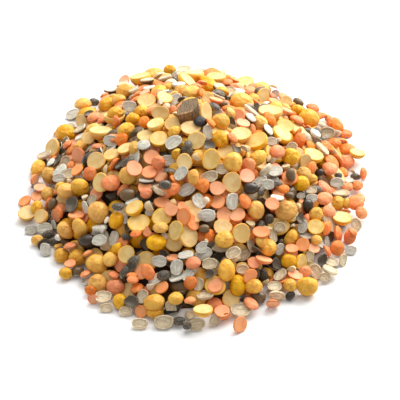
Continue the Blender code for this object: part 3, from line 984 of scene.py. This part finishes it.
PATTERNS_APART = (97.0, 61.0, 43.0)  # millimetres, times a grain's draws
CORE_CELLS = 210.0  # for each metre, so that a cell is as wide as a grain
# the core's colours are painted shade: dark low down, lighter higher up where more light falls
CORE_LIT = (0.008, 0.016)  # metres up, where the core turns from its low colours to its high ones


def colour(red, green, blue):
    """A colour from 0 to 255 as a screen shows it, turned into light values by the sRGB curve."""
    shares = [number / 255 for number in (red, green, blue)]
    return (*(c / 12.92 if c < 0.04045 else ((c + 0.055) / 1.055) ** 2.4 for c in shares), 1.0)


class Finish:
    """A material under way, with short calls for the nodes that its patterns need."""

    def __init__(self, name, **values):
        self.material = bpy.data.materials.new(name)
        self.material.use_nodes = True
        self.tree = self.material.node_tree
        self.shader = self.tree.nodes["Principled BSDF"]
        for socket, value in values.items():
            self.shader.inputs[socket.replace("_", " ").title()].default_value = value

    def node(self, kind, *inputs, **settings):
        """Adds a node with these settings, and feeds its inputs in their order. None leaves one alone."""
        node = self.tree.nodes.new("ShaderNode" + kind)
        for name, value in settings.items():
            setattr(node, name, value)
        for socket, value in zip(node.inputs, inputs):
            self.feed(socket, value)
        return node

    def feed(self, socket, value):
        """Links the socket to another, or sets it."""
        if isinstance(value, bpy.types.NodeSocket):
            self.tree.links.new(value, socket)
        elif value is not None:
            socket.default_value = value

    def math(self, operation, a, b=None):
        """The result of a sum with numbers."""
        return self.node("Math", a, b, operation=operation).outputs[0]

    def vector(self, operation, a, b=None):
        """The result of a sum with vectors."""
        return self.node("VectorMath", a, b, operation=operation).outputs[0]

    def step(self, value, low, high):
        """0 below low, 1 above high and smooth between. Low may be over high, which turns it round."""
        node = self.node("MapRange", value, low, high, 0.0, 1.0, interpolation_type="SMOOTHSTEP")
        return node.outputs[0]

    def mix(self, share, a, b):
        """The colour that goes from a to b with the share."""
        node = self.tree.nodes.new("ShaderNodeMix")
        node.data_type = "RGBA"
        for name, value in (("Factor_Float", share), ("A_Color", a), ("B_Color", b)):
            self.feed(next(s for s in node.inputs if s.identifier == name), value)
        return next(s for s in node.outputs if s.identifier == "Result_Color")

    def noise(self, vector, scale, detail=2.0, roughness=0.5, distortion=0.0):
        """Cloudy noise at this place, from 0 to 1."""
        node = self.node("TexNoise")
        for name, value in (
            ("Vector", vector),
            ("Scale", scale),
            ("Detail", detail),
            ("Roughness", roughness),
            ("Distortion", distortion),
        ):
            self.feed(node.inputs[name], value)
        return node.outputs["Fac"]

    def toned(self, base, hue, strength, value):
        """The colour with its hue, saturation and value moved by numbers around 0.5, 1 and 1."""
        node = self.node("HueSaturation")
        for name, number in (("Hue", hue), ("Saturation", strength), ("Value", value), ("Color", base)):
            self.feed(node.inputs[name], number)
        return node.outputs[0]

    def spread(self, drawn, low, high):
        """The drawn number, from 0 to 1, moved to run from low to high."""
        return self.node("MapRange", drawn, 0.0, 1.0, low, high).outputs[0]

    def bump(self, *layers):
        """Bumps of these heights, each given with its depth in metres, one over the other."""
        normal = None
        for height, depth in layers:
            node = self.node("Bump")
            node.inputs["Distance"].default_value = depth
            self.feed(node.inputs["Height"], height)
            if normal:
                self.feed(node.inputs["Normal"], normal)
            normal = node.outputs[0]
        self.feed(self.shader.inputs["Normal"], normal)


class Grain(NamedTuple):
    """What a grain's material reads: its own coordinates, its pattern's coordinates and its draws."""

    x: object
    y: object
    z: object
    outline: object  # distance from the grain's axis, 1 at its rim
    radius: object  # distance from its middle, 1 on its outer skin
    pattern: object  # millimetres, elsewhere for each grain
    draws: tuple


def read_grain(finish, kind):
    """The grain's attributes as sockets for its kind's material."""
    form = finish.node("Attribute", attribute_name="grain_form").outputs["Vector"]
    drawn = finish.node("Attribute", attribute_name="grain_draw").outputs["Vector"]
    x, y, z = finish.node("SeparateXYZ", form).outputs
    flat = finish.vector("MULTIPLY", form, (1.0, 1.0, 0.0))
    outline = finish.node("VectorMath", flat, operation="LENGTH").outputs["Value"]
    radius = finish.node("VectorMath", form, operation="LENGTH").outputs["Value"]
    real = finish.vector("MULTIPLY", form, tuple(halves_of(kind)))
    elsewhere = finish.vector("MULTIPLY", drawn, PATTERNS_APART)
    pattern = finish.vector("ADD", real, elsewhere)
    return Grain(x, y, z, outline, radius, pattern, tuple(finish.node("SeparateXYZ", drawn).outputs))


def pea_finish(kind, face, face_pale, rim, dome, dome_deep, roughness):
    """A split pea or lentil: a pale cut face with a deeper rim, under a smooth mottled dome."""
    finish = Finish(kind.name, roughness=roughness, subsurface_weight=0.12, subsurface_scale=0.0012)
    finish.shader.inputs["Subsurface Radius"].default_value = (1.0, 0.55, 0.2)
    finish.shader.inputs["Specular IOR Level"].default_value = 0.35
    grain = read_grain(finish, kind)
    cloud = finish.noise(grain.pattern, 0.45, 2)
    speck = finish.noise(grain.pattern, 5.0, 3, 0.7)
    ragged = finish.math("ADD", grain.outline, finish.spread(cloud, -0.05, 0.05))
    cut = finish.mix(finish.step(cloud, 0.35, 0.65), face, face_pale)
    cut = finish.mix(finish.math("MULTIPLY", finish.step(speck, 0.5, 0.8), 0.25), cut, rim)
    cut = finish.mix(finish.step(ragged, 0.80, 0.97), cut, rim)
    skin = finish.mix(finish.step(cloud, 0.3, 0.7), dome, dome_deep)
    skin = finish.mix(finish.step(grain.z, 0.5, 0.05), skin, rim)
    whole = finish.mix(finish.step(grain.z, 0.03, 0.12), cut, skin)
    hue = finish.spread(grain.draws[0], 0.497, 0.506)
    strength = finish.spread(grain.draws[1], 0.92, 1.08)
    value = finish.spread(grain.draws[2], 0.88, 1.08)
    finish.feed(finish.shader.inputs["Base Color"], finish.toned(whole, hue, strength, value))
    dents = finish.noise(grain.pattern, 0.6, 2, 0.5, 0.3)
    dents = finish.math("MULTIPLY", dents, finish.step(grain.z, 0.0, 0.4))
    finish.bump((dents, 0.0007), (speck, 0.00004))
    return finish.material


def bean_half_finish(kind, face, face_pale, shade, skin, skinned, dish_shade_strength):
    """A split bean: a fibrous pale face in a paler rim, with painted shade in a ring inside the rim and
    along the groove, and on its dome a dark skin that is partly gone.
    """
    finish = Finish(kind.name, roughness=0.55, subsurface_weight=0.06, subsurface_scale=0.001)
    grain = read_grain(finish, kind)
    along = finish.vector("MULTIPLY", grain.pattern, (0.5, 1.6, 1.0))
    fibre = finish.noise(along, 1.0, 4, 0.65, 0.6)
    patchy = finish.noise(grain.pattern, 0.55, 2)
    wavy = finish.math("ADD", grain.outline, finish.spread(patchy, -0.25, 0.25))
    # painted shade: a darker ring on the dished face, just inside the raised rim
    ring = finish.math("MULTIPLY", finish.step(wavy, 0.5, 0.7), finish.step(wavy, 0.9, 0.75))
    cut = finish.mix(finish.step(fibre, 0.35, 0.65), face, face_pale)
    cut = finish.mix(finish.math("MULTIPLY", ring, dish_shade_strength), cut, shade)
    # painted shade: darker along the sunk groove in the middle of the cut face
    side = finish.math("ABSOLUTE", grain.y)
    groove = finish.math("MULTIPLY", finish.step(side, 0.10, 0.0), finish.step(grain.outline, 0.6, 0.3))
    cut = finish.mix(finish.math("MULTIPLY", groove, 0.35), cut, shade)
    bare = finish.mix(finish.step(patchy, 0.35, 0.65), face_pale, face)
    kept = finish.math("ADD", finish.math("MULTIPLY", patchy, 0.4), grain.draws[0])
    dome = finish.mix(finish.step(kept, 1.2 - skinned, 1.24 - skinned), bare, skin)
    whole = finish.mix(finish.step(grain.z, 0.12, 0.3), cut, dome)
    hue = finish.spread(grain.draws[1], 0.494, 0.502)
    value = finish.spread(grain.draws[2], 0.84, 1.08)
    finish.feed(finish.shader.inputs["Base Color"], finish.toned(whole, hue, 1.0, value))
    finish.bump((fibre, 0.0002), (patchy, 0.0003))
    return finish.material


def whole_bean_finish(kind, brown, green, black, pale):
    """A glossy dark bean with a pale scar on its side."""
    finish = Finish(kind.name, roughness=0.36, coat_weight=0.12, coat_roughness=0.25)
    grain = read_grain(finish, kind)
    cloud = finish.noise(grain.pattern, 0.8, 3, 0.6)
    body = finish.mix(finish.step(cloud, 0.35, 0.65), brown, green)
    body = finish.mix(finish.step(grain.draws[0], 0.72, 0.74), body, black)
    across = finish.math("ABSOLUTE", grain.z)
    scar = finish.math("MULTIPLY", finish.step(across, 0.22, 0.12), finish.step(grain.y, -0.55, -0.7))
    scar = finish.math("MULTIPLY", scar, finish.step(finish.math("ABSOLUTE", grain.x), 0.45, 0.35))
    body = finish.mix(scar, body, pale)
    value = finish.spread(grain.draws[2], 0.8, 1.15)
    finish.feed(finish.shader.inputs["Base Color"], finish.toned(body, 0.5, 1.0, value))
    finish.bump((cloud, 0.00012))
    return finish.material


def skin_finish(kind, outer, inner):
    """A husk: near black outside, and brown inside."""
    finish = Finish(kind.name, roughness=0.42)
    grain = read_grain(finish, kind)
    cloud = finish.noise(grain.pattern, 0.9, 3, 0.6)
    lit = finish.mix(finish.step(cloud, 0.3, 0.8), outer, inner)
    whole = finish.mix(finish.step(grain.radius, 0.985, 0.95), finish.mix(0.25, outer, lit), inner)
    finish.feed(finish.shader.inputs["Base Color"], whole)
    finish.bump((cloud, 0.0002))
    return finish.material


def crumb_finish(kind, inside, inside_pale, outside):
    """A broken bit: pale and mealy where it broke, and golden where its rind is left."""
    finish = Finish(kind.name, roughness=0.7, subsurface_weight=0.08, subsurface_scale=0.001)
    grain = read_grain(finish, kind)
    mealy = finish.noise(grain.pattern, 2.2, 3, 0.7)
    broken = finish.mix(finish.step(mealy, 0.3, 0.7), inside, inside_pale)
    whole = finish.mix(finish.math("MULTIPLY", finish.step(grain.radius, 0.93, 0.99), 0.6), broken, outside)
    strength = finish.spread(grain.draws[0], 0.35, 1.1)
    value = finish.spread(grain.draws[1], 0.85, 1.05)
    finish.feed(finish.shader.inputs["Base Color"], finish.toned(whole, 0.5, strength, value))
    finish.bump((mealy, 0.0002))
    return finish.material


def bark_finish(kind, body, dark, bare):
    """Bark: dark weathered ridges, and redder wood where it split."""
    finish = Finish(kind.name, roughness=0.85)
    grain = read_grain(finish, kind)
    ridges = finish.noise(finish.vector("MULTIPLY", grain.pattern, (2.6, 0.5, 0.5)), 1.2, 4, 0.65)
    outer = finish.mix(finish.step(ridges, 0.35, 0.65), dark, body)
    split = finish.mix(finish.step(ridges, 0.3, 0.6), dark, bare)
    whole = finish.mix(finish.step(grain.y, -0.7, -0.9), outer, split)
    finish.feed(finish.shader.inputs["Base Color"], whole)
    finish.bump((ridges, 0.0008))
    return finish.material


def core_finish():
    """Grains in deep shade, as painted shade: dark low down and lighter higher up."""
    finish = Finish("heap_core", roughness=0.8)
    place = finish.node("TexCoord").outputs["Object"]
    cells = finish.node("TexVoronoi")
    finish.feed(cells.inputs["Vector"], place)
    cells.inputs["Scale"].default_value = CORE_CELLS
    drawn = finish.node("SeparateColor", cells.outputs["Color"]).outputs[0]
    # painted shade low on the core, and lighter painted light higher up
    low = finish.mix(finish.step(drawn, 0.3, 0.6), colour(96, 66, 30), colour(60, 50, 38))
    high = finish.mix(finish.step(drawn, 0.3, 0.6), colour(186, 136, 62), colour(180, 110, 56))
    height = finish.node("SeparateXYZ", place).outputs["Z"]
    finish.feed(finish.shader.inputs["Base Color"], finish.mix(finish.step(height, *CORE_LIT), low, high))
    finish.bump((cells.outputs["Distance"], 0.0006))
    return finish.material


def finishes():
    """The material of each kind."""
    return {
        CHICKPEA: pea_finish(
            CHICKPEA,
            face=colour(227, 187, 113),
            face_pale=colour(238, 205, 139),
            rim=colour(241, 178, 62),
            dome=colour(244, 187, 71),
            dome_deep=colour(225, 156, 44),
            roughness=0.44,
        ),
        PIGEON_PEA: pea_finish(
            PIGEON_PEA,
            face=colour(228, 189, 117),
            face_pale=colour(238, 206, 142),
            rim=colour(241, 183, 73),
            dome=colour(242, 187, 78),
            dome_deep=colour(223, 159, 53),
            roughness=0.46,
        ),
        RED_LENTIL: pea_finish(
            RED_LENTIL,
            face=colour(240, 152, 102),
            face_pale=colour(244, 168, 120),
            rim=colour(242, 140, 74),
            dome=colour(245, 150, 88),
            dome_deep=colour(239, 131, 68),
            roughness=0.5,
        ),
        BLACK_GRAM: bean_half_finish(
            BLACK_GRAM,
            face=colour(198, 192, 174),
            face_pale=colour(230, 225, 209),
            shade=colour(130, 120, 102),
            skin=colour(46, 40, 35),
            skinned=0.6,
            dish_shade_strength=0.15,
        ),
        MUNG: bean_half_finish(
            MUNG,
            face=colour(204, 182, 146),
            face_pale=colour(234, 219, 184),
            shade=colour(158, 124, 76),
            skin=colour(96, 76, 44),
            skinned=0.4,
            dish_shade_strength=0.35,
        ),
        WHOLE_BEAN: whole_bean_finish(
            WHOLE_BEAN,
            brown=colour(116, 86, 50),
            green=colour(102, 84, 54),
            black=colour(56, 44, 30),
            pale=colour(200, 186, 156),
        ),
        SKIN: skin_finish(SKIN, outer=colour(44, 41, 38), inner=colour(110, 98, 80)),
        CRUMB: crumb_finish(
            CRUMB,
            inside=colour(218, 194, 142),
            inside_pale=colour(232, 216, 178),
            outside=colour(222, 172, 86),
        ),
        CHIP: bark_finish(
            CHIP,
            body=colour(150, 124, 92),
            dark=colour(116, 94, 70),
            bare=colour(186, 142, 96),
        ),
    }


def dress(obj, material):
    """Gives a piece its material, and ties it to the part."""
    obj.data.materials.clear()
    obj.data.materials.append(material)
    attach(obj, "root")
    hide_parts("lentil_heap")


# Floor, light and camera

FLOOR_SIDE = 4.0  # metres
FLOOR_WHITE = (0.93, 0.93, 0.93, 1.0)
ROOM_LIGHT = 0.5
RIM_SAMPLES = 720


def make_floor():
    """The white surface that the heap lies on."""
    bpy.ops.object.select_all(action="DESELECT")
    bpy.ops.mesh.primitive_plane_add(size=FLOOR_SIDE)
    floor = bpy.context.object
    floor.name = floor.data.name = "floor"
    finish = Finish("floor", roughness=0.9)
    finish.shader.inputs["Base Color"].default_value = FLOOR_WHITE
    finish.shader.inputs["Specular IOR Level"].default_value = 0.0
    floor.data.materials.append(finish.material)


def area_light(name, place, size, watts, tint):
    """A square lamp at this place in metres, aimed at the middle of the heap's foot."""
    bpy.ops.object.light_add(type="AREA", location=place)
    light = bpy.context.object
    light.name = name
    light.data.size = size
    light.data.energy = watts
    light.data.color = tint
    light.rotation_euler = (-Vector(place)).to_track_quat("-Z", "Y").to_euler()


def light_studio():
    """A white room, a large lamp behind on the right, and a weaker one behind and overhead."""
    world = bpy.data.worlds.new("studio")
    bpy.context.scene.world = world
    world.use_nodes = True
    background = world.node_tree.nodes["Background"]
    background.inputs["Color"].default_value = (1.0, 1.0, 1.0, 1)
    background.inputs["Strength"].default_value = ROOM_LIGHT
    area_light("key", place=(0.36, 0.46, 0.42), size=0.60, watts=8.2, tint=(1.0, 0.99, 0.97))
    area_light("overhead", place=(-0.05, 0.30, 0.55), size=0.60, watts=2.6, tint=(1.0, 1.0, 0.98))
    bpy.context.scene.view_settings.view_transform = "Standard"


def aim_camera(shift):
    """Sets the camera so that the heap shows where the photograph has it."""
    middle = PHOTO_SIDE / 2
    mm_per_pixel = CAMERA_DISTANCE / FOCAL_PIXELS
    aim = (middle - BASE_PIXEL[0]) * mm_per_pixel * RIGHT - (middle - BASE_PIXEL[1]) * mm_per_pixel * UP
    place = (aim + shift + CAMERA_DISTANCE * BACK) * MM
    bpy.ops.object.camera_add(location=place)
    camera = bpy.context.object
    camera.rotation_euler = Vector(-BACK).to_track_quat("-Z", "Y").to_euler()
    camera.data.sensor_width = SENSOR
    camera.data.lens = FOCAL_PIXELS / PHOTO_SIDE * SENSOR
    camera.data.clip_start = 0.01
    bpy.context.scene.camera = camera


def centring():
    """What brings the middle of the rim's box over the middle of the CAD box."""
    angles = np.linspace(0, 2 * math.pi, RIM_SAMPLES)
    x, y = rim_radius(angles) * np.cos(angles), rim_radius(angles) * np.sin(angles)
    middle = (cad_low + cad_high) / 2 / MM
    return np.array((middle.x - (x.min() + x.max()) / 2, middle.y - (y.min() + y.max()) / 2, 0.0))


def build():
    """Lays the grains, models them kind by kind, and sets the stage."""
    rng = np.random.default_rng(SEED)
    shift = centring()
    laid = lay_heap(rng)
    masters = model_grains()
    materials = finishes()
    for kind in KINDS:
        grains = [grain for grain in laid if grain.kind is kind]
        dress(joined(kind, grains, masters[kind], shift, rng), materials[kind])
    dress(model_core(shift), core_finish())
    make_floor()
    light_studio()
    aim_camera(shift)


build()
